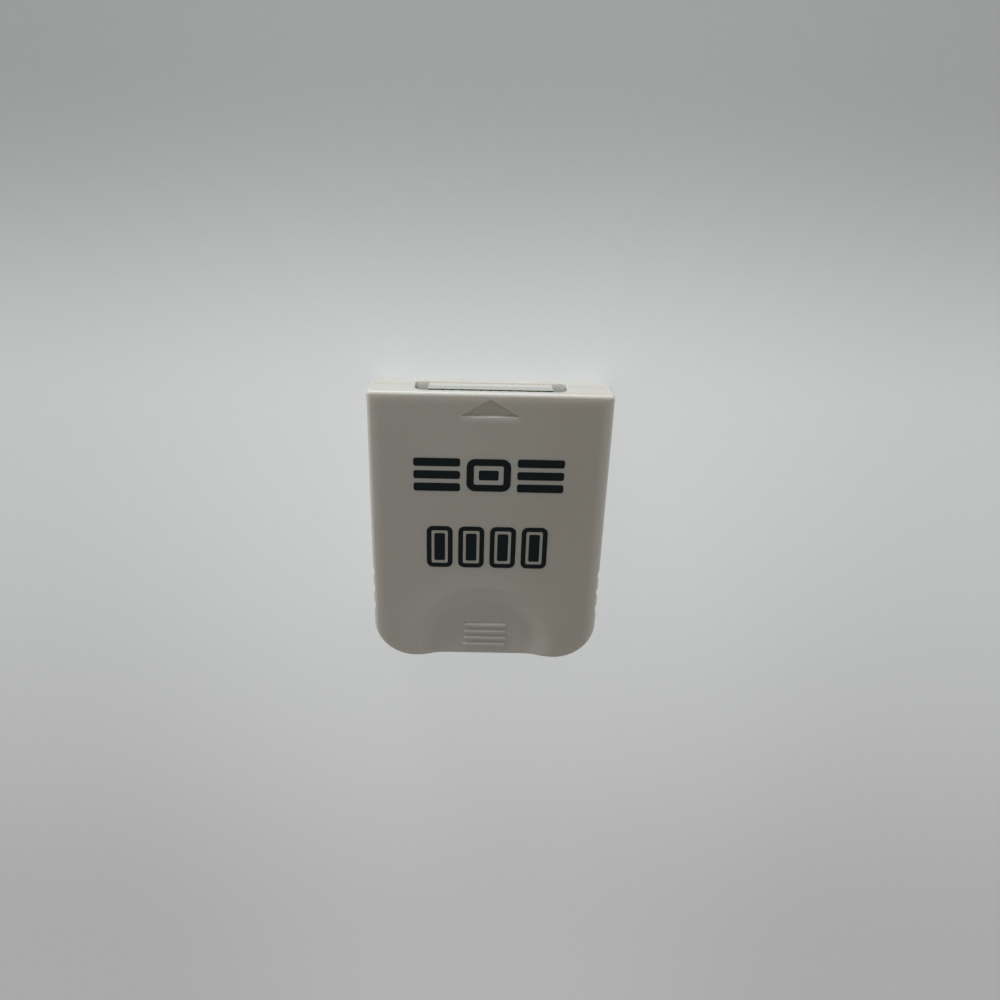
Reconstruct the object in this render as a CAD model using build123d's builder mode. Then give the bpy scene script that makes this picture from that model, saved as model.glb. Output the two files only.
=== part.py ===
"""Console memory card: a two-part moulded case round a small circuit board with edge contacts.

The card lies on its back. X runs across it, Y points to the connector end and Z out of the front face,
in millimetres, with the origin in the middle of the back face.
"""

import os

from build123d import *

# Outer form of the card
card_width = 41.0
card_length = 52.0
grip_corner_radius = 7.5
front_edge_radius = 0.7
back_edge_radius = 2.0
end_edge_radius = 0.6
parting_bevel = 0.06

# Walls, and the stack through the thickness from the back to the front
side_wall = 1.6
back_wall = 1.5
under_board_space = 2.0
board_thickness = 1.6
contact_space = 1.6
front_wall = 1.3

# Clearance between pieces that fit together, and the closeness that counts as level with something
fit_gap = 0.1
tolerance = 0.001

# Lip on the rear shell and the snap beads on it at the connector end
lip_thickness = 0.7
lip_height = 0.8
bead_reach = 0.3
bead_half_height = 0.25
bead_length = 3.0

# Connector slot in the end face, and the hood of walls round it inside the case
well_width = 2.25
slot_depth = 10.0
slot_floor = 2.6
lead_in_length = 1.5
lead_in_drop = 0.7
slot_corner_radius = 1.6
slot_floor_radius = 0.6
hood_wall = 1.2

# Insertion arrow recessed in the front face
arrow_width = 10.4
arrow_height = 3.1
arrow_end_distance = 1.05
arrow_depth = 0.5
arrow_base_run = 0.28
arrow_tip_run = 0.12

# Thumb scoop at the grip end and the ribs on its floor
scoop_radius = 13.1
scoop_floor_radius = 7.4
scoop_centre_inset = 2.5
scoop_depth = 1.0
rib_count = 4
rib_pitch = 1.4
rib_length = 8.0
rib_width = 0.7
rib_height = 0.4
rib_rounding = 0.3
rib_group_inset = 4.55

# Finger grooves in the two sides
groove_count = 3
groove_pitch = 3.5
groove_radius = 1.6
groove_depth = 0.32
groove_group_inset = 14.5

# Circuit board and its contacts
contact_count = 12
contact_pitch = 1.6
contact_width = 1.1
contact_length = 6.2
contact_setback = 0.2
contact_thickness = 0.05
tongue_margin = 1.1
tongue_recess = 0.2
tongue_bevel = 0.1
board_side_gap = 1.1
board_corner_radius = 1.0
grip_bay_length = 16.0

# Posts and rails that hold the board
pin_diameter = 1.8
pin_boss_diameter = 3.6
pin_rise = 1.0
pin_side_inset = 2.8
pin_tail_inset = 2.5
rail_thickness = 1.0
rail_inset = 1.2

# Case screws
screw_diameter = 1.8
screw_length = 4.0
screw_tip_length = 0.6
screw_thread_gap = 0.03
head_diameter = 3.4
head_height = 1.0
head_edge_radius = 0.45
head_recess = 1.0
cross_width = 0.5
cross_length = 2.0
cross_depth = 0.55
screw_side_inset = 7.5
screw_grip_inset = 9.0
counterbore_wall = 0.8
pilot_wall = 1.2
pilot_runout = 0.3

# Chip packages: memory with leads on its short sides, controller with leads on four sides
package_standoff = 0.1
package_height = 1.0
package_mark_diameter = 0.9
package_mark_depth = 0.1
package_mark_inset = 1.1
lead_thickness = 0.14
lead_width = 0.22
lead_pitch = 0.5
lead_shoulder = 0.25
lead_foot = 0.45
flash_length = 18.4
flash_width = 12.0
flash_lead_count = 24
flash_lead_reach = 0.8
controller_size = 7.0
controller_lead_count = 12
controller_lead_reach = 1.0
chip_gap = 1.2
chip_margin = 1.2

# Leadless chip parts, in two rows below the packages
terminal_length = 0.35
terminal_skin = 0.04
capacitor_size = (1.6, 0.8, 0.8)
bulk_capacitor_size = (3.2, 1.6, 1.2)
resistor_size = (1.6, 0.8, 0.45)
resistor_network_size = (3.2, 1.6, 0.6)
ferrite_bead_size = (2.0, 1.25, 0.9)
capacitor_row_gap = 1.6
resistor_row_gap = 2.4
capacitor_pitch = 4.5
resistor_pitch = 3.6

# Levels through the thickness
parting_z = back_wall + under_board_space
board_top_z = parting_z + board_thickness
ceiling_z = board_top_z + contact_space
front_z = ceiling_z + front_wall
board_clamp_z = board_top_z + fit_gap
slot_mouth_z = slot_floor - lead_in_drop

# Stations along the card
end_y = card_length / 2
grip_y = -card_length / 2
slot_back_y = end_y - slot_depth
lead_in_y = end_y - lead_in_length
hood_back_y = slot_back_y - hood_wall
board_end_y = end_y - tongue_recess
board_shoulder_y = slot_back_y - fit_gap
board_tail_y = grip_y + grip_bay_length

# Widths worked out from the contacts outwards, and the board's from the walls inwards
tongue_width = (contact_count - 1) * contact_pitch + contact_width + 2 * tongue_margin
slot_width = tongue_width + 2 * well_width
hood_width = slot_width + 2 * hood_wall
board_width = card_width - 2 * (side_wall + board_side_gap)
lip_inset = side_wall - lip_thickness
rebate_inset = lip_inset - fit_gap
bead_x = (hood_width / 2 + card_width / 2 - side_wall) / 2
bead_z = parting_z + lip_height / 2

# Places of the repeated features
groove_x = card_width / 2 + groove_radius - groove_depth
groove_first_y = grip_y + groove_group_inset - (groove_count - 1) * groove_pitch / 2
groove_places = [
    (side * groove_x, groove_first_y + step * groove_pitch)
    for side in (-1, 1)
    for step in range(groove_count)
]
screw_x = card_width / 2 - screw_side_inset
screw_y = grip_y + screw_grip_inset
screw_places = [(side * screw_x, screw_y) for side in (-1, 1)]
pin_x = board_width / 2 - pin_side_inset
pin_y = board_tail_y + pin_tail_inset
pin_places = [(side * pin_x, pin_y) for side in (-1, 1)]

scoop_axis = Axis((0, grip_y + scoop_centre_inset, 0), (0, 0, 1))

# Screw seat: the head bears on the counterbore's floor and the tip stops short of the pilot's end
bearing_z = head_recess + head_height
pilot_top_z = bearing_z + screw_length + pilot_runout
pilot_diameter = screw_diameter + 2 * screw_thread_gap
counterbore_diameter = head_diameter + 2 * fit_gap
rear_boss_diameter = counterbore_diameter + 2 * counterbore_wall
front_boss_diameter = pilot_diameter + 2 * pilot_wall

os.makedirs("parts", exist_ok=True)


def card_outline(inset):
    """Plan of the card, drawn inset from its outer wall: square at the connector end, round at the grip."""
    half_width = card_width / 2 - inset
    half_length = card_length / 2 - inset
    grip_radius = grip_corner_radius - inset
    with BuildSketch() as outline:
        with BuildLine():
            FilletPolyline(
                (-half_width, half_length),
                (-half_width, -half_length),
                (half_width, -half_length),
                (half_width, half_length),
                radius=[0, grip_radius, grip_radius, 0],
                close=True,
            )
        make_face()
    return outline.sketch


def hood_plan(margin):
    """Plan of the hood round the slot, grown sideways by a margin, from its back wall out through the end."""
    with BuildSketch() as plan:
        with Locations((0, (hood_back_y + end_y) / 2)):
            Rectangle(hood_width + 2 * margin, end_y - hood_back_y)
    return plan.sketch


def rear_slot_section(y, floor_z):
    """Back half of the slot at a station along the card, rounded where its sides meet its floor."""
    with BuildSketch(Plane.XZ.offset(-y)) as section:
        with BuildLine():
            FilletPolyline(
                (-slot_width / 2, parting_z),
                (-slot_width / 2, floor_z),
                (slot_width / 2, floor_z),
                (slot_width / 2, parting_z),
                radius=[0, slot_floor_radius, slot_floor_radius, 0],
                close=True,
            )
        make_face()
    return section.sketch


def scoop_profile(top_z):
    """Half section of the thumb scoop below a level surface: flat floor, then two arcs up to the surface."""
    floor_z = top_z - scoop_depth
    middle = ((scoop_floor_radius + scoop_radius) / 2, top_z - scoop_depth / 2)
    with BuildSketch(Plane.XZ.offset(-grip_y - scoop_centre_inset)) as profile:
        with BuildLine():
            Polyline((scoop_radius, top_z), (0, top_z), (0, floor_z), (scoop_floor_radius, floor_z))
            TangentArc((scoop_floor_radius, floor_z), middle, tangent=(1, 0))
            TangentArc((scoop_radius, top_z), middle, tangent=(-1, 0))
        make_face()
    return profile.sketch


def end_face_rim(shell):
    """Edges round a shell's connector end face, apart from the one on the parting plane."""
    end_face = shell.faces().sort_by(Axis.Y)[-1]
    return end_face.edges().filter_by(lambda edge: abs(edge.center().Z - parting_z) > tolerance)


# Space inside the front shell for the board and its parts, raised where the thumb scoop dips into it
with BuildPart() as front_bay:
    with BuildSketch(Plane.XY.offset(parting_z)):
        add(card_outline(side_wall))
        add(hood_plan(0), mode=Mode.SUBTRACT)
    extrude(amount=ceiling_z - parting_z)
    revolve(scoop_profile(ceiling_z), axis=scoop_axis, mode=Mode.SUBTRACT)

# Front shell: outer form with its scoop and rounded edges, then the features on it and inside it
with BuildPart() as front_shell:
    with BuildSketch(Plane.XY.offset(parting_z)):
        add(card_outline(0))
    extrude(amount=front_z - parting_z)
    revolve(scoop_profile(front_z), axis=scoop_axis, mode=Mode.SUBTRACT)

    walls = front_shell.faces().filter_by(lambda face: abs(face.normal_at().Z) < tolerance)
    rim = walls.edges().filter_by(Axis.Z, reverse=True)
    rim = rim.filter_by(lambda edge: edge.center().Z > parting_z + tolerance)
    rim = rim.filter_by(lambda edge: edge.center().Y < end_y - tolerance)
    fillet(rim, radius=front_edge_radius)
    fillet(end_face_rim(front_shell), radius=end_edge_radius)

    with BuildSketch(Plane.XY.offset(parting_z)):
        with Locations(*groove_places):
            Circle(groove_radius)
    extrude(amount=front_z - parting_z, mode=Mode.SUBTRACT)
    chamfer(front_shell.faces().sort_by(Axis.Z)[0].edges(), length=parting_bevel)

    # Grip ribs on the scoop's floor
    with BuildSketch(Plane.XY.offset(front_z - scoop_depth)):
        with Locations((0, grip_y + rib_group_inset)):
            with GridLocations(0, rib_pitch, 1, rib_count):
                SlotOverall(rib_length, rib_width)
    extrude(amount=rib_height)
    fillet(front_shell.edges(Select.LAST).group_by(Axis.Z)[-1], radius=rib_rounding)

    # Insertion arrow, whose walls lean in from the front face to a smaller floor
    arrow_base_y = end_y - arrow_end_distance - arrow_height
    arrow_floor_share = 1 - (arrow_base_run + arrow_tip_run) / arrow_height
    for level_z, base_y, share in (
        (front_z, arrow_base_y, 1),
        (front_z - arrow_depth, arrow_base_y + arrow_base_run, arrow_floor_share),
    ):
        with BuildSketch(Plane.XY.offset(level_z)):
            with BuildLine():
                Polyline(
                    (-share * arrow_width / 2, base_y),
                    (share * arrow_width / 2, base_y),
                    (0, base_y + share * arrow_height),
                    close=True,
                )
            make_face()
    loft(mode=Mode.SUBTRACT)

    add(front_bay.part, mode=Mode.SUBTRACT)

    # Rebate that takes the rear shell's lip
    with BuildSketch(Plane.XY.offset(parting_z)):
        add(card_outline(rebate_inset))
        add(card_outline(side_wall), mode=Mode.SUBTRACT)
        add(hood_plan(0), mode=Mode.SUBTRACT)
    extrude(amount=lip_height + fit_gap, mode=Mode.SUBTRACT)

    # Notches behind the end wall for the snap beads
    notch_y = end_y - rebate_inset
    for side in (-1, 1):
        with BuildSketch(Plane.YZ.offset(side * bead_x - bead_length / 2 - fit_gap)):
            with BuildLine():
                Polyline(
                    (notch_y - fit_gap, bead_z - bead_half_height - fit_gap),
                    (notch_y + bead_reach, bead_z),
                    (notch_y - fit_gap, bead_z + bead_half_height + fit_gap),
                    close=True,
                )
            make_face()
        extrude(amount=bead_length + 2 * fit_gap, mode=Mode.SUBTRACT)

    # Slot, rounded towards the front, and the gap in the hood's back wall where the board passes
    with BuildSketch(Plane.XZ.offset(-end_y)):
        with BuildLine():
            FilletPolyline(
                (-slot_width / 2, parting_z),
                (-slot_width / 2, ceiling_z),
                (slot_width / 2, ceiling_z),
                (slot_width / 2, parting_z),
                radius=[0, slot_corner_radius, slot_corner_radius, 0],
                close=True,
            )
        make_face()
    extrude(amount=slot_depth, mode=Mode.SUBTRACT)
    with BuildSketch(Plane.XY.offset(parting_z)):
        with Locations((0, (hood_back_y + slot_back_y) / 2)):
            Rectangle(hood_width, hood_wall)
    extrude(amount=board_clamp_z - parting_z, mode=Mode.SUBTRACT)

    # Screw bosses and the hollow posts that press the board down round the locating pins
    with BuildSketch(Plane.XY.offset(parting_z)):
        with Locations(*screw_places):
            Circle(front_boss_diameter / 2)
    extrude(amount=ceiling_z - parting_z)
    with BuildSketch(Plane.XY.offset(parting_z)):
        with Locations(*screw_places):
            Circle(pilot_diameter / 2)
    extrude(amount=pilot_top_z - parting_z, mode=Mode.SUBTRACT)
    with BuildSketch(Plane.XY.offset(board_clamp_z)):
        with Locations(*pin_places):
            Circle(pin_boss_diameter / 2)
            Circle(pin_diameter / 2 + fit_gap, mode=Mode.SUBTRACT)
    extrude(amount=ceiling_z - board_clamp_z)

front_shell.part.label = "front_shell"
export_step(front_shell.part, "parts/front_shell.step")

# Rear shell: tray with the back half of the slot, the board's supports and the screw seats
with BuildPart() as rear_shell:
    with BuildSketch():
        add(card_outline(0))
    extrude(amount=parting_z)
    back_rim = rear_shell.faces().sort_by(Axis.Z)[0].edges()
    back_rim = back_rim.filter_by(lambda edge: edge.center().Y < end_y - tolerance)
    fillet(back_rim, radius=back_edge_radius)
    fillet(end_face_rim(rear_shell), radius=end_edge_radius)

    with BuildSketch():
        with Locations(*groove_places):
            Circle(groove_radius)
    extrude(amount=parting_z, mode=Mode.SUBTRACT)
    chamfer(rear_shell.faces().sort_by(Axis.Z)[-1].edges(), length=parting_bevel)

    # Inside of the tray, and the slot with its sloped mouth and the ledge under the board's tongue
    with BuildSketch(Plane.XY.offset(back_wall)):
        add(card_outline(side_wall))
        add(hood_plan(0), mode=Mode.SUBTRACT)
    extrude(amount=under_board_space, mode=Mode.SUBTRACT)
    mouth = rear_slot_section(end_y, slot_mouth_z)
    throat = rear_slot_section(lead_in_y, slot_floor)
    loft([mouth, throat], mode=Mode.SUBTRACT)
    extrude(throat, amount=lead_in_y - slot_back_y, mode=Mode.SUBTRACT)
    with BuildSketch(Plane.XY.offset(slot_mouth_z)):
        with Locations((0, (slot_back_y + board_end_y) / 2)):
            Rectangle(tongue_width, board_end_y - slot_back_y)
    extrude(amount=parting_z - slot_mouth_z)

    # Lip that lines up the front shell, with a snap bead each side of the slot
    with BuildSketch(Plane.XY.offset(parting_z)):
        add(card_outline(lip_inset))
        add(card_outline(side_wall), mode=Mode.SUBTRACT)
        add(hood_plan(fit_gap), mode=Mode.SUBTRACT)
    extrude(amount=lip_height)
    lip_y = end_y - lip_inset
    for side in (-1, 1):
        with BuildSketch(Plane.YZ.offset(side * bead_x - bead_length / 2)):
            with BuildLine():
                Polyline(
                    (lip_y, bead_z - bead_half_height),
                    (lip_y + bead_reach, bead_z),
                    (lip_y, bead_z + bead_half_height),
                    close=True,
                )
            make_face()
        extrude(amount=bead_length)

    # Rails under the board's edges, and the locating pins that pass through it
    rail_x = board_width / 2 - rail_inset
    with BuildSketch(Plane.XY.offset(back_wall)):
        for side in (-1, 1):
            with Locations((side * rail_x, (board_tail_y + hood_back_y) / 2)):
                Rectangle(rail_thickness, hood_back_y - board_tail_y)
        with Locations((0, board_tail_y + rail_thickness / 2)):
            Rectangle(2 * rail_x, rail_thickness)
        with Locations(*pin_places):
            Circle(pin_boss_diameter / 2)
    extrude(amount=under_board_space)
    with BuildSketch(Plane.XY.offset(parting_z)):
        with Locations(*pin_places):
            Circle(pin_diameter / 2)
    extrude(amount=board_thickness + pin_rise)

    # Screw seats, bored from the back
    with BuildSketch(Plane.XY.offset(back_wall)):
        with Locations(*screw_places):
            Circle(rear_boss_diameter / 2)
    extrude(amount=under_board_space)
    with Locations(*[Location((x, y, 0), (180, 0, 0)) for x, y in screw_places]):
        CounterBoreHole(
            radius=screw_diameter / 2 + fit_gap,
            counter_bore_radius=counterbore_diameter / 2,
            counter_bore_depth=bearing_z,
            depth=parting_z,
        )

rear_shell.part.label = "rear_shell"
export_step(rear_shell.part, "parts/rear_shell.step")

# Circuit board: full width behind the hood, with a tongue out through the slot
with BuildPart() as circuit_board:
    with BuildSketch(Plane.XY.offset(parting_z)):
        with Locations((0, (board_tail_y + board_shoulder_y) / 2)):
            RectangleRounded(board_width, board_shoulder_y - board_tail_y, board_corner_radius)
        with Locations((0, (board_tail_y + board_end_y) / 2)):
            Rectangle(tongue_width, board_end_y - board_tail_y)
        with Locations(*pin_places):
            Circle(pin_diameter / 2 + fit_gap, mode=Mode.SUBTRACT)
    extrude(amount=board_thickness)
    tongue_end = circuit_board.faces().sort_by(Axis.Y)[-1]
    chamfer(tongue_end.edges().sort_by(Axis.Z)[-1], length=tongue_bevel)

circuit_board.part.label = "circuit_board"
export_step(circuit_board.part, "parts/circuit_board.step")

# Contact pads on the front of the tongue, one solid each
with BuildPart() as edge_contacts:
    with BuildSketch(Plane.XY.offset(board_top_z)):
        with Locations((0, board_end_y - contact_setback - contact_length / 2)):
            with GridLocations(contact_pitch, 0, contact_count, 1):
                Rectangle(contact_width, contact_length)
    extrude(amount=contact_thickness)

edge_contacts.part.label = "edge_contacts"
export_step(edge_contacts.part, "parts/edge_contacts.step")


def lead_row(reach, count):
    """Row of bent leads along Y: each leaves the package at X = 0, half way up, and bends down to its foot."""
    ankle = reach - lead_foot
    half_thickness = lead_thickness / 2
    exit_z = package_standoff + package_height / 2
    with BuildPart() as row:
        with BuildSketch(Plane.XZ):
            with BuildLine():
                Polyline(
                    (0, exit_z - half_thickness),
                    (lead_shoulder - lead_thickness, exit_z - half_thickness),
                    (ankle - lead_thickness, 0),
                    (reach, 0),
                    (reach, lead_thickness),
                    (ankle, lead_thickness),
                    (lead_shoulder, exit_z + half_thickness),
                    (0, exit_z + half_thickness),
                    close=True,
                )
            make_face()
        lead = extrude(amount=lead_width / 2, both=True, mode=Mode.PRIVATE)
        with GridLocations(0, lead_pitch, 1, count):
            add(lead)
    return row.part


def package_body(length, width):
    """Moulded package standing off the board, with a round dimple in the corner beside the first lead."""
    with BuildPart() as package:
        with BuildSketch(Plane.XY.offset(package_standoff)):
            Rectangle(length, width)
        extrude(amount=package_height)
        with BuildSketch(Plane.XY.offset(package_standoff + package_height)):
            with Locations((package_mark_inset - length / 2, package_mark_inset - width / 2)):
                Circle(package_mark_diameter / 2)
        extrude(amount=-package_mark_depth, mode=Mode.SUBTRACT)
    return package.part


# The two packages stand side by side behind the hood, centred on the board as a pair
flash_span = flash_length + 2 * flash_lead_reach
controller_span = controller_size + 2 * controller_lead_reach
chip_row_width = flash_span + chip_gap + controller_span
chip_row_y = hood_back_y - chip_margin - flash_width / 2
flash_seat = Plane(((flash_span - chip_row_width) / 2, chip_row_y, board_top_z))
controller_seat = Plane(((chip_row_width - controller_span) / 2, chip_row_y, board_top_z))

with BuildPart(flash_seat) as flash_memory_body:
    add(package_body(flash_length, flash_width))

flash_memory_body.part.label = "flash_memory_body"
export_step(flash_memory_body.part, "parts/flash_memory_body.step")

with BuildPart(flash_seat) as flash_memory_leads:
    with PolarLocations(flash_length / 2, 2):
        add(lead_row(flash_lead_reach, flash_lead_count))

flash_memory_leads.part.label = "flash_memory_leads"
export_step(flash_memory_leads.part, "parts/flash_memory_leads.step")

with BuildPart(controller_seat) as controller_body:
    add(package_body(controller_size, controller_size))

controller_body.part.label = "controller_body"
export_step(controller_body.part, "parts/controller_body.step")

with BuildPart(controller_seat) as controller_leads:
    with PolarLocations(controller_size / 2, 4):
        add(lead_row(controller_lead_reach, controller_lead_count))

controller_leads.part.label = "controller_leads"
export_step(controller_leads.part, "parts/controller_leads.step")


def chip_component(length, width, height):
    """Leadless chip part: a ceramic body between two plated ends, standing on the board."""
    with BuildPart() as component:
        with BuildSketch(Plane.XY.offset(terminal_skin)):
            Rectangle(length - 2 * terminal_skin, width - 2 * terminal_skin)
        extrude(amount=height - 2 * terminal_skin)
        with BuildSketch():
            with GridLocations(length - terminal_length, 0, 2, 1):
                Rectangle(terminal_length, width)
        extrude(amount=height)
    return component.part


# Chip parts in two rows: supply capacitors next to the packages, then resistors and the supply filter
capacitor_row = [
    ("decoupling_capacitor_1", capacitor_size),
    ("decoupling_capacitor_2", capacitor_size),
    ("bulk_capacitor", bulk_capacitor_size),
    ("decoupling_capacitor_3", capacitor_size),
    ("decoupling_capacitor_4", capacitor_size),
]
resistor_row = [
    ("pull_up_resistor_1", resistor_size),
    ("pull_up_resistor_2", resistor_size),
    ("resistor_network", resistor_network_size),
    ("supply_ferrite_bead", ferrite_bead_size),
    ("pull_up_resistor_3", resistor_size),
    ("pull_up_resistor_4", resistor_size),
]
capacitor_row_y = chip_row_y - flash_width / 2 - capacitor_row_gap
resistor_row_y = capacitor_row_y - resistor_row_gap

for row, row_y, pitch in (
    (capacitor_row, capacitor_row_y, capacitor_pitch),
    (resistor_row, resistor_row_y, resistor_pitch),
):
    for place, (name, size) in enumerate(row):
        component_x = (place - (len(row) - 1) / 2) * pitch
        with BuildPart(Plane((component_x, row_y, board_top_z))) as component:
            add(chip_component(*size))
        component.part.label = name
        export_step(component.part, f"parts/{name}.step")


def case_screw():
    """Self-tapping screw, head down: round-edged head with a cross recess, plain shank and pointed tip."""
    head_radius = head_diameter / 2
    shank_radius = screw_diameter / 2
    tip_z = head_height + screw_length
    with BuildPart() as screw:
        with BuildSketch(Plane.XZ):
            with BuildLine():
                FilletPolyline(
                    (0, 0),
                    (head_radius, 0),
                    (head_radius, head_height),
                    (shank_radius, head_height),
                    (shank_radius, tip_z - screw_tip_length),
                    (0, tip_z),
                    radius=[head_edge_radius, 0, 0, 0],
                )
                Line((0, tip_z), (0, 0))
            make_face()
        revolve(axis=Axis.Z)
        with BuildSketch():
            Rectangle(cross_length, cross_width)
            Rectangle(cross_width, cross_length)
        extrude(amount=cross_depth, mode=Mode.SUBTRACT)
    return screw.part


# Two case screws, one solid each
with BuildPart() as case_screws:
    with Locations(*[(x, y, head_recess) for x, y in screw_places]):
        add(case_screw())

case_screws.part.label = "case_screws"
export_step(case_screws.part, "parts/case_screws.step")
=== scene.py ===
"""Looks of a console memory card: an off-white moulded case round a small board, lying on its back.

Everything is in metres in the CAD frame: X across the card, Y to the connector end, Z out of the front.
The sections follow the card as it is put together, then come the floor, the lamps and the camera.
"""

import bmesh
import bpy
from mathutils import Matrix, Vector


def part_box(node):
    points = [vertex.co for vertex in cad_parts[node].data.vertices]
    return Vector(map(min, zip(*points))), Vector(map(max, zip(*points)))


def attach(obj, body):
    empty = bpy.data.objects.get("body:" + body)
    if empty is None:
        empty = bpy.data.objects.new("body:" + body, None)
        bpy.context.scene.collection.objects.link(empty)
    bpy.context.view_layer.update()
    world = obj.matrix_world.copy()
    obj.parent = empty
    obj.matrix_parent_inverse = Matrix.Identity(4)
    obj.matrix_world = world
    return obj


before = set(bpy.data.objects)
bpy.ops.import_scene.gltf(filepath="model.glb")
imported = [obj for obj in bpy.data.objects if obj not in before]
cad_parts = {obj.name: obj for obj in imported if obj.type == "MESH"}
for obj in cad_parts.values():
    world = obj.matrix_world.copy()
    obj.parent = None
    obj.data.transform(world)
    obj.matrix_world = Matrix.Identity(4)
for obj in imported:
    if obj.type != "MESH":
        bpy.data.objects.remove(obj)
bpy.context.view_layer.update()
mm = 0.001


# Circuit board. A 1.6 mm glass-epoxy laminate, routed to shape, with green solder mask on both faces
# and the bare pale grey laminate showing on its cut edges. It rests on the rear shell's rails, and its
# bevelled tongue fills the slot in the end of the case.
class Tone:
    """One socket in a finish. Sums on it add Math nodes, and node() adds any other kind of node."""

    def __init__(self, tree, socket):
        self.tree = tree
        self.socket = socket

    def node(self, kind, sockets, settings=None, output=0):
        made = self.tree.nodes.new("ShaderNode" + kind)
        for name, value in (settings or {}).items():
            setattr(made, name, value)
        for key, value in sockets.items():
            if isinstance(value, Tone):
                self.tree.links.new(value.socket, made.inputs[key])
            else:
                made.inputs[key].default_value = value
        return Tone(self.tree, made.outputs[output])

    def math(self, operation, first, second=0.0):
        return self.node("Math", {0: first, 1: second}, {"operation": operation})

    def __add__(self, other):
        return self.math("ADD", self, other)

    __radd__ = __add__

    def __sub__(self, other):
        return self.math("SUBTRACT", self, other)

    def __rsub__(self, other):
        return self.math("SUBTRACT", other, self)

    def __mul__(self, other):
        return self.math("MULTIPLY", self, other)

    __rmul__ = __mul__

    def __abs__(self):
        return self.math("ABSOLUTE", self)

    def rise(self, low, high):
        """0 below low and 1 above high, with a soft step between them."""
        step = {"Value": self, "From Min": low, "From Max": high}
        return self.node("MapRange", step, {"interpolation_type": "SMOOTHSTEP"})

    def blend(self, none, full):
        """The colour none where this value is 0, and the colour full where it is 1."""
        return self.node("Mix", {"Factor": self, 6: none, 7: full}, {"data_type": "RGBA"}, output=2)

    def speckle(self, size, detail=2.0):
        """Noise from 0 to 1 over this place, with grains of about that size."""
        return self.node("TexNoise", {"Vector": self, "Scale": 1 / size, "Detail": detail})

    def along(self, axis):
        return self.node("SeparateXYZ", {"Vector": self}, output=axis)

    def bump(self, depth):
        """The surface's normal, roughened where this value rises from 0 to 1 by that depth."""
        return self.node("Bump", {"Height": self, "Distance": depth, "Strength": 1.0})


def object_place(finish):
    """The place on the object, from which a finish's patterns start."""
    finish.use_nodes = True
    source = finish.node_tree.nodes.new("ShaderNodeTexCoord")
    return Tone(finish.node_tree, source.outputs["Object"])


def surface(finish, sockets):
    """Links or sets the sockets of a finish's shader."""
    shader = finish.node_tree.nodes["Principled BSDF"]
    for key, value in sockets.items():
        if isinstance(value, Tone):
            finish.node_tree.links.new(value.socket, shader.inputs[key])
        else:
            shader.inputs[key].default_value = value


def dress(finish, *nodes):
    """Gives CAD nodes a finish."""
    for name in nodes:
        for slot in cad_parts[name].material_slots:
            slot.material = finish


def screen(red, green, blue):
    """A colour as it looks on a screen, from 0 to 255, as the linear colour that a shader takes."""
    linear = []
    for part in (red, green, blue):
        share = part / 255
        linear.append(share / 12.92 if share < 0.04045 else ((share + 0.055) / 1.055) ** 2.4)
    return (*linear, 1.0)


board_low, board_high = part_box("circuit_board")
mask_depth = 0.02 * mm

laminate = bpy.data.materials.new("solder_masked_laminate")
place = object_place(laminate)
height = place.along("Z")
fibre = place.node("Mapping", {"Vector": place, "Scale": (1.0, 1.0, 6.0)}).speckle(0.25 * mm)
from_middle = abs(height - (board_low.z + board_high.z) / 2)
half_board = (board_high.z - board_low.z) / 2
masked = from_middle.rise(half_board - mask_depth, half_board - mask_depth / 2)
cut_edge = fibre.rise(0.35, 0.65).blend(screen(176, 179, 173), screen(198, 201, 197))
mask_colour = place.speckle(2.0 * mm).blend(screen(18, 74, 44), screen(28, 92, 56))
surface(laminate, {
    "Base Color": masked.blend(cut_edge, mask_colour),
    "Roughness": 0.62 - 0.3 * masked + 0.1 * fibre,
    "Normal": fibre.bump(0.01 * mm),
})
dress(laminate, "circuit_board")


# Edge contacts. Twelve copper pads on the tongue's front face, plated with nickel and hard gold, each
# rubbed along its length by the console's springs.
gold = bpy.data.materials.new("hard_gold_plate")
place = object_place(gold)
rub = place.node("Mapping", {"Vector": place, "Scale": (1.0, 0.06, 1.0)}).speckle(0.12 * mm)
surface(gold, {
    "Base Color": rub.blend(screen(226, 182, 96), screen(240, 205, 130)),
    "Metallic": 1.0,
    "Roughness": 0.22 + 0.2 * rub,
    "Normal": rub.bump(0.002 * mm),
})
dress(gold, "edge_contacts")


# Memory chip and controller. Moulded black epoxy packages with a fine spark-eroded skin and a round
# dimple by the first lead, held just above the board by their leads.
epoxy = bpy.data.materials.new("package_epoxy")
place = object_place(epoxy)
grain = place.speckle(0.08 * mm, 4.0)
surface(epoxy, {
    "Base Color": grain.blend(screen(26, 26, 27), screen(44, 44, 44)),
    "Roughness": 0.5 + 0.2 * grain,
    "Normal": grain.bump(0.004 * mm),
})
dress(epoxy, "flash_memory_body", "controller_body")


# Leads of the two packages. Stamped copper alloy strips, bent to a gull wing and tinned, with their feet
# soldered to the board.
tin = bpy.data.materials.new("solder_tin")
place = object_place(tin)
frost = place.speckle(0.1 * mm, 3.0)
surface(tin, {
    "Base Color": frost.blend(screen(186, 188, 190), screen(212, 213, 212)),
    "Metallic": 1.0,
    "Roughness": 0.28 + 0.25 * frost,
    "Normal": frost.bump(0.003 * mm),
})
dress(tin, "flash_memory_leads", "controller_leads")


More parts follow.
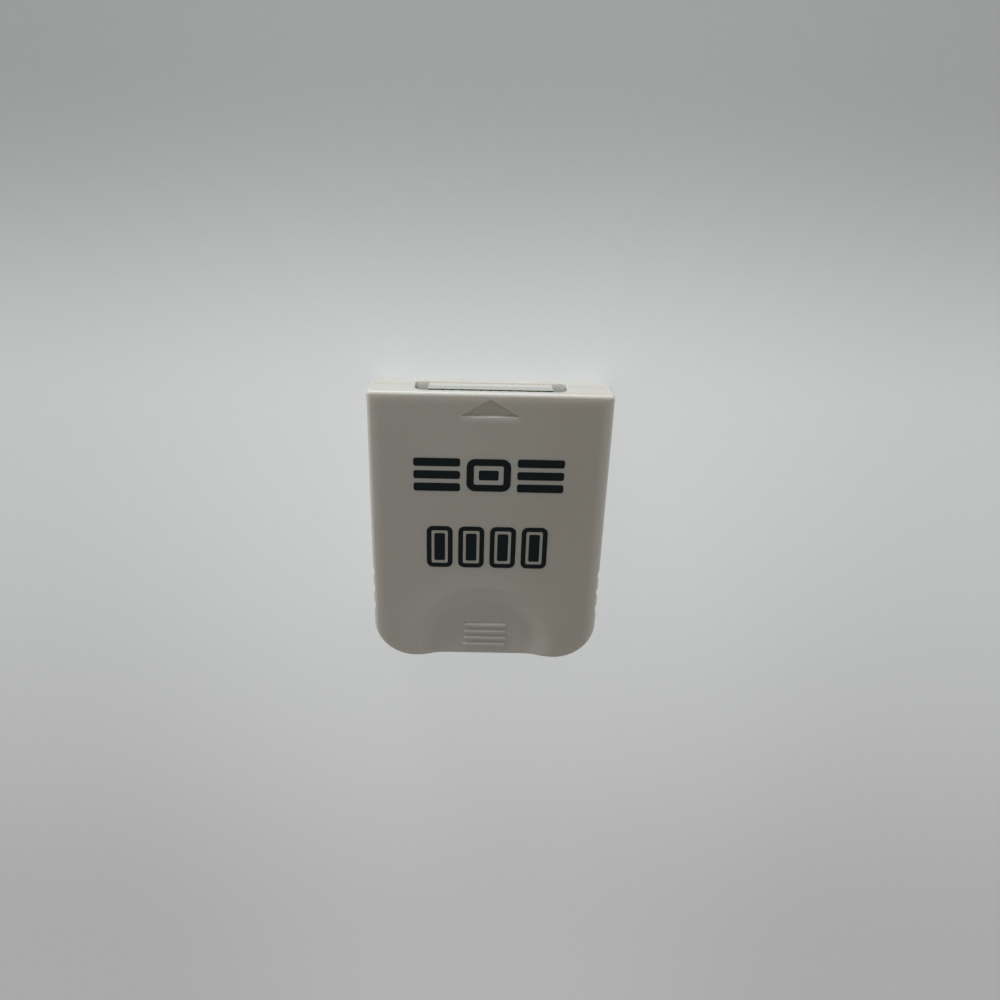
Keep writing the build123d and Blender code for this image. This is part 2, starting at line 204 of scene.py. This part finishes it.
# Leadless chip parts. Fired ceramic bodies with a tinned cap on each end, soldered to the board by the
# caps: tan capacitors, black-glazed resistors and a dark grey ferrite bead.
def chip_part_finish(node, body_colour, worn_colour, cap_length):
    """Ceramic in the middle of a part that lies along X, and tin on its two ends."""
    low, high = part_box(node)
    finish = bpy.data.materials.new(node + "_ceramic")
    place = object_place(finish)
    grain = place.speckle(0.15 * mm, 3.0)
    from_middle = abs(place.along("X") - (low.x + high.x) / 2)
    cap_start = (high.x - low.x) / 2 - cap_length
    cap = from_middle.rise(cap_start - 0.02 * mm, cap_start)
    surface(finish, {
        "Base Color": cap.blend(grain.blend(body_colour, worn_colour), screen(205, 206, 206)),
        "Metallic": cap,
        "Roughness": 0.5 - 0.15 * cap + 0.15 * grain,
        "Normal": grain.bump(0.004 * mm),
    })
    dress(finish, node)


cap_length = 0.35 * mm
tan, worn_tan = screen(150, 118, 84), screen(170, 138, 100)
glaze, worn_glaze = screen(24, 25, 27), screen(40, 41, 43)
for number in range(1, 5):
    chip_part_finish(f"decoupling_capacitor_{number}", tan, worn_tan, cap_length)
    chip_part_finish(f"pull_up_resistor_{number}", glaze, worn_glaze, cap_length)
chip_part_finish("bulk_capacitor", screen(140, 110, 80), screen(160, 130, 96), cap_length)
chip_part_finish("resistor_network", glaze, worn_glaze, cap_length)
chip_part_finish("supply_ferrite_bead", screen(58, 58, 60), screen(78, 78, 80), cap_length)


# The two case shells. Injection-moulded off-white styrene plastic with a fine spark-eroded skin, lined up
# by the rear shell's lip and held by its snap beads. The front is a little darker and yellower towards the
# right. Its thumb rest is painted lighter against the scoop's shade and is smoother there as from wear.
# Its edges and the arrow's base are painted paler, a painted glow and highlight, and are glossier as from
# wear.
# The slot is darker inside, deeper in from its mouth.
shell_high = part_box("front_shell")[1]
thumb_rest = (0.0, -21.0 * mm, 7.0 * mm)
arrow_base_y = shell_high.y - 4.15 * mm
slot_half_width = 12.9 * mm
slot_low_z = 1.2 * mm
slot_high_z = 6.6 * mm

case_plastic = bpy.data.materials.new("moulded_off_white_plastic")
place = object_place(case_plastic)
across = place.along("X")
lengthwise = place.along("Y")
height = place.along("Z")
from_middle = abs(across)
grain = place.speckle(0.16 * mm, 3.0)
mottle = place.speckle(0.4 * mm, 3.0)
ageing = place.speckle(18.0 * mm, 1.0)
drag = place.node("Mapping", {"Vector": place, "Rotation": (0, 0, 0.6), "Scale": (1.0, 0.03, 1.0)})
scuff = drag.speckle(0.09 * mm).rise(0.66, 0.72)
# Thumb rest: the colour is painted lighter here to offset the shade in the scoop, and the roughness is
# lower as from wear.
from_thumb = place.node("VectorMath", {0: place, 1: thumb_rest}, {"operation": "DISTANCE"}, output="Value")
thumb_rest_lit_and_worn = 1 - from_thumb.rise(5 * mm, 17 * mm)
shade = (0.12 + 0.45 * mottle + 0.3 * ageing + 0.3 * thumb_rest_lit_and_worn - 0.1 * scuff).rise(0.3, 0.8)

# The front's colour goes darker and yellower towards its right side.
main_colour = shade.blend(screen(209, 206, 198), screen(221, 219, 213))
rightward_colour = shade.blend(screen(202, 198, 188), screen(215, 212, 204))
on_front = height.rise(shell_high.z - 1.6 * mm, shell_high.z - 0.5 * mm)
rightward_on_front = on_front * across.rise(-14 * mm, 18 * mm)

# Along the front's edges and the arrow's base the colour is painted paler, a painted glow and highlight;
# the roughness there is lower as from wear.
near_side = from_middle.rise(shell_high.x - 2.5 * mm, shell_high.x)
near_end = lengthwise.rise(shell_high.y - 2.4 * mm, shell_high.y - 0.2 * mm)
from_arrow = lengthwise - arrow_base_y
near_arrow = from_arrow.rise(-1.3 * mm, 0.0) * (1 - from_arrow.rise(0.25 * mm, 0.45 * mm))
near_arrow = near_arrow * (1 - from_middle.rise(4.2 * mm, 5.6 * mm))
on_edge = height.rise(shell_high.z - 0.6 * mm, shell_high.z - 0.1 * mm)
edge_glow_and_wear = on_edge * place.math("MAXIMUM", near_side, place.math("MAXIMUM", near_end, near_arrow))
undarkened_colour = edge_glow_and_wear.blend(rightward_on_front.blend(main_colour, rightward_colour), screen(230, 228, 223))

# Darker inside the slot, deeper in from its mouth.
in_slot = 1 - from_middle.rise(slot_half_width, slot_half_width + 0.5 * mm)
in_slot = in_slot * height.rise(slot_low_z - 0.6 * mm, slot_low_z)
in_slot = in_slot * (1 - height.rise(slot_high_z, slot_high_z + 0.4 * mm))
slot_darkening = in_slot * (shell_high.y - lengthwise).rise(0.3 * mm, 1.5 * mm)
surface(case_plastic, {
    "Base Color": slot_darkening.blend(undarkened_colour, screen(186, 187, 176)),
    "Roughness": 0.38 + 0.12 * mottle - 0.06 * thumb_rest_lit_and_worn - 0.05 * edge_glow_and_wear + 0.1 * scuff,
    "Normal": (grain - 0.4 * scuff).bump(0.012 * mm),
    "Subsurface Weight": 0.45,
    "Subsurface Radius": (1.0, 0.85, 0.65),
    "Subsurface Scale": 2.2 * mm,
})
dress(case_plastic, "rear_shell", "front_shell")


# Case screws. Two small cross-recessed self-tapping screws of zinc-plated steel, driven from the back
# into the front shell's bosses.
zinc = bpy.data.materials.new("zinc_plated_steel")
place = object_place(zinc)
turning = place.node("Mapping", {"Vector": place, "Scale": (1.0, 1.0, 8.0)}).speckle(0.2 * mm, 3.0)
surface(zinc, {
    "Base Color": turning.blend(screen(168, 170, 172), screen(200, 202, 203)),
    "Metallic": 1.0,
    "Roughness": 0.3 + 0.2 * turning,
    "Normal": turning.bump(0.003 * mm),
})
dress(zinc, "case_screws")


# Print on the front face. Two pad-printed marks in near-black ink, a film of a few hundredths of a
# millimetre: a plain chip between two sets of bars, and below it a row of four memory cells.
front_z = shell_high.z
ink_film = 0.02 * mm
chip_y = 11.4 * mm
chip_width, chip_height = 7.6 * mm, 6.0 * mm
chip_corner, chip_rim = 1.5 * mm, 1.25 * mm
core_width, core_height = 3.4 * mm, 1.8 * mm
bar_x, bar_pitch = 8.9 * mm, 2.3 * mm
bar_width, bar_height, bar_corner = 8.0 * mm, 1.5 * mm, 0.4 * mm
cell_y, cell_pitch, cell_count = -2.5 * mm, 5.6 * mm, 4
cell_width, cell_height = 4.6 * mm, 8.2 * mm
cell_corner, cell_rim = 1.1 * mm, 0.85 * mm
fill_width, fill_height = 1.9 * mm, 5.4 * mm
inner_corner = 0.3 * mm


def ink_patch(film, x, y, width, height, corner, rim=None):
    """A flat patch of ink with rounded corners, or only its rim, centred on a place on the front face."""
    start = Matrix.Translation((x, y, front_z)) @ Matrix.Diagonal((width, height, 1.0, 1.0))
    grid = bmesh.ops.create_grid(film, x_segments=1, y_segments=1, size=0.5, matrix=start)
    rounded = bmesh.ops.bevel(film, geom=grid["verts"], offset=corner, segments=5, profile=0.5,
                              affect="VERTICES", material=-1)
    face = [f for f in film.faces if set(f.verts) >= set(rounded["verts"])]
    if rim:
        bmesh.ops.inset_region(film, faces=face, thickness=rim, use_boundary=True, use_even_offset=True)
        bmesh.ops.delete(film, geom=face, context="FACES_ONLY")


def print_mark(name, film):
    """Gives the flat patches the film's thickness and prints them on the case."""
    raised = bmesh.ops.extrude_face_region(film, geom=film.faces[:], use_keep_orig=True)
    tops = [v for v in raised["geom"] if isinstance(v, bmesh.types.BMVert)]
    bmesh.ops.translate(film, verts=tops, vec=(0, 0, ink_film))
    bmesh.ops.recalc_face_normals(film, faces=film.faces[:])
    mesh = bpy.data.meshes.new(name)
    film.to_mesh(mesh)
    film.free()
    mark = bpy.data.objects.new(name, mesh)
    bpy.context.scene.collection.objects.link(mark)
    mark.data.materials.append(ink)
    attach(mark, "root")


ink = bpy.data.materials.new("pad_printing_ink")
place = object_place(ink)
cloud = place.speckle(0.5 * mm, 4.0)
surface(ink, {
    "Base Color": cloud.blend(screen(10, 21, 25), screen(20, 32, 36)),
    "Roughness": 0.48 + 0.15 * cloud,
    "Normal": cloud.bump(0.003 * mm),
    "Specular IOR Level": 0.2,
})

upper = bmesh.new()
ink_patch(upper, 0.0, chip_y, chip_width, chip_height, chip_corner, rim=chip_rim)
ink_patch(upper, 0.0, chip_y, core_width, core_height, inner_corner)
for side in (-1, 1):
    for row in (-1, 0, 1):
        ink_patch(upper, side * bar_x, chip_y + row * bar_pitch, bar_width, bar_height, bar_corner)
print_mark("print_chip_mark", upper)

lower = bmesh.new()
for cell in range(cell_count):
    cell_x = (cell - (cell_count - 1) / 2) * cell_pitch
    ink_patch(lower, cell_x, cell_y, cell_width, cell_height, cell_corner, rim=cell_rim)
    ink_patch(lower, cell_x, cell_y, fill_width, fill_height, inner_corner)
print_mark("print_cell_mark", lower)


# Floor. A plain pale board under the card. It glows a little to the eye alone, so that it stays pale in
# the dim light and keeps the card's soft shadow, and the glow fades away from the card as a painted pool
# of light.
floor_half_width = 1.0
floor_drop = 0.02 * mm


def seen_directly(start):
    """1 where the eye sees it, straight, mirrored or through glass, and 0 where it only gives light."""
    rays = ("Is Camera Ray", "Is Glossy Ray", "Is Transmission Ray")
    return sum(start.node("LightPath", {}, output=ray) for ray in rays)


floor_form = bmesh.new()
bmesh.ops.create_grid(floor_form, x_segments=1, y_segments=1, size=floor_half_width,
                      matrix=Matrix.Translation((0, 0, -floor_drop)))
floor_mesh = bpy.data.meshes.new("floor")
floor_form.to_mesh(floor_mesh)
floor_form.free()
floor = bpy.data.objects.new("floor", floor_mesh)
bpy.context.scene.collection.objects.link(floor)

pale = bpy.data.materials.new("pale_board")
place = object_place(pale)
fleck = place.speckle(2.0 * mm)
lengthwise = place.along("Y")
beyond_end = lengthwise.rise(20 * mm, 75 * mm)
behind_grip = (0 - lengthwise).rise(-25 * mm, 115 * mm)
beside = abs(place.along("X")).rise(15 * mm, 90 * mm)
near_glow = behind_grip.blend((0.478, 0.496, 0.493, 1), (0.328, 0.325, 0.331, 1))
end_glow = beyond_end.blend(near_glow, (0.232, 0.242, 0.239, 1))
dark = (0, 0, 0, 1)
glow = (0.14 * beside).blend(end_glow, dark)
surface(pale, {
    "Base Color": fleck.blend(screen(165, 168, 168), screen(172, 175, 175)),
    "Roughness": 0.9,
    "Emission Color": seen_directly(place).blend(dark, glow),
    "Emission Strength": 1.0,
})
floor.data.materials.append(pale)


# Light. A soft lamp beyond the connector end, a little above the floor, as from a window, and a lower
# one that mostly lights the end face. Low lamps at both sides catch the edges and a weak one shines from
# the grip end. The surround is dim and even, with a pale backdrop for the eye.
cool_white = (0.98, 0.99, 1.0)
blue_white = (0.96, 0.99, 1.0)
warm_white = (1.0, 0.98, 0.95)


def soft_lamp(name, place, width, height, power, colour):
    """A rectangular lamp that faces the card, in metres and watts."""
    lamp = bpy.data.lights.new(name, "AREA")
    lamp.shape = "RECTANGLE"
    lamp.size = width
    lamp.size_y = height
    lamp.energy = power
    lamp.color = colour
    shining = bpy.data.objects.new(name, lamp)
    turn = (-Vector(place)).to_track_quat("-Z", "Y")
    shining.matrix_world = Matrix.LocRotScale(Vector(place), turn, None)
    bpy.context.scene.collection.objects.link(shining)


soft_lamp("window_lamp", (-0.50, 1.73, 0.19), 0.60, 0.10, 8.5, cool_white)
soft_lamp("end_lamp", (-0.15, 1.80, 0.025), 0.90, 0.045, 17.6, blue_white)
soft_lamp("left_lamp", (-1.80, 0.0, 0.06), 0.60, 0.10, 6.0, warm_white)
soft_lamp("right_lamp", (1.80, 0.15, 0.03), 0.60, 0.055, 4.6, warm_white)
soft_lamp("near_lamp", (-0.20, -1.78, 0.19), 0.90, 0.15, 0.45, warm_white)

world = bpy.data.worlds.new("surround")
bpy.context.scene.world = world
way = object_place(world).node("TexCoord", {}, output="Generated")
dim_light = (0.240, 0.232, 0.219, 1)
backdrop = way.along("Z").rise(0.0, 0.5).blend((0.5, 0.51, 0.5, 1), (0.32, 0.325, 0.32, 1))
glow = seen_directly(way).blend(dim_light, backdrop)
world.node_tree.links.new(glow.socket, world.node_tree.nodes["Background"].inputs["Color"])


# Camera. It looks down on the front from beyond the connector end, a little to the left of the middle,
# at the angle and distance that were fitted to the card's edges.
camera_place = Vector((-2.06, 66.07, 137.89)) * mm
view_line = Vector((0.0046, -0.4153, -0.9097)).normalized()
picture_up = Vector((-0.0194, 0.9095, -0.4153))
lens_length = 29.65
sideways_shift = 0.02
nearest_seen = 0.01

picture_right = view_line.cross(picture_up).normalized()
picture_up = picture_right.cross(view_line)
camera = bpy.data.objects.new("camera", bpy.data.cameras.new("camera"))
turn = Matrix((picture_right, picture_up, -view_line)).transposed()
camera.matrix_world = Matrix.LocRotScale(camera_place, turn.to_quaternion(), None)
camera.data.lens = lens_length
camera.data.shift_x = sideways_shift
camera.data.clip_start = nearest_seen
bpy.context.scene.collection.objects.link(camera)
bpy.context.scene.camera = camera

bpy.context.scene.view_settings.view_transform = "Standard"
